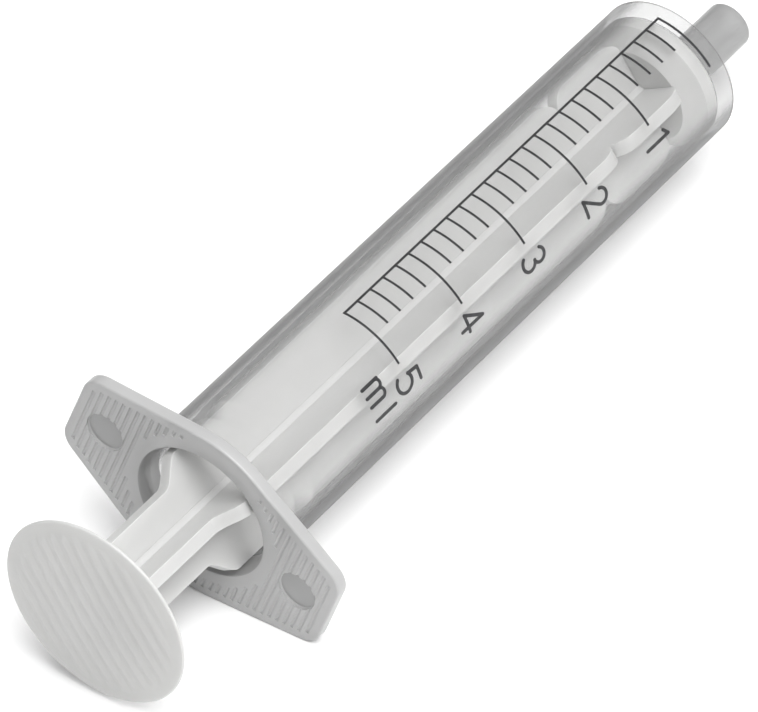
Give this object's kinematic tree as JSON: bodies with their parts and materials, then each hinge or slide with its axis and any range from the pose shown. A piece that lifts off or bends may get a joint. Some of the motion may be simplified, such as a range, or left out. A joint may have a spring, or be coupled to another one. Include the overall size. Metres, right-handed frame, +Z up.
{
  "type": "oral syringe",
  "caption": "Small two-piece syringe: clear graduated barrel with a lozenge finger flange and an off-centre slip nozzle, and a white plunger that slides and turns in its bore.",
  "frame": {"origin": "on the resting surface, under the middle of the overall length and under the barrel's axis", "axes": "+X along the barrel towards the nozzle, +Z up with the flange lying on one long side, +Y to the side that the flange's far ear points to"},
  "size_m": [0.0901, 0.0278, 0.019],
  "materials": {
    "clear_plastic": "clear polypropylene with a slight haze and a smooth moulded gloss",
    "white_plastic": "milky white polyethylene, satin",
    "black_ink": "black printed ink"
  },
  "bodies": {
    "barrel": {"barrel": "clear_plastic", "scale_line": "black_ink", "major_graduations": "black_ink", "minor_graduations": "black_ink", "numerals": "black_ink", "unit_mark": "black_ink"},
    "plunger_head": {"plunger_head": "white_plastic"},
    "plunger_rod": {"plunger_rod": "white_plastic"}
  },
  "joints": [
    {"name": "plunger_slide", "type": "slide", "parent": "barrel", "child": "plunger_head", "axis": [-1, 0, 0], "range_m": [0, 0.0515]},
    {"name": "plunger_turn", "type": "hinge", "parent": "plunger_head", "child": "plunger_rod", "pos_m": [0, 0, 0.00951], "axis": [1, 0, 0], "continuous": true}
  ]
}
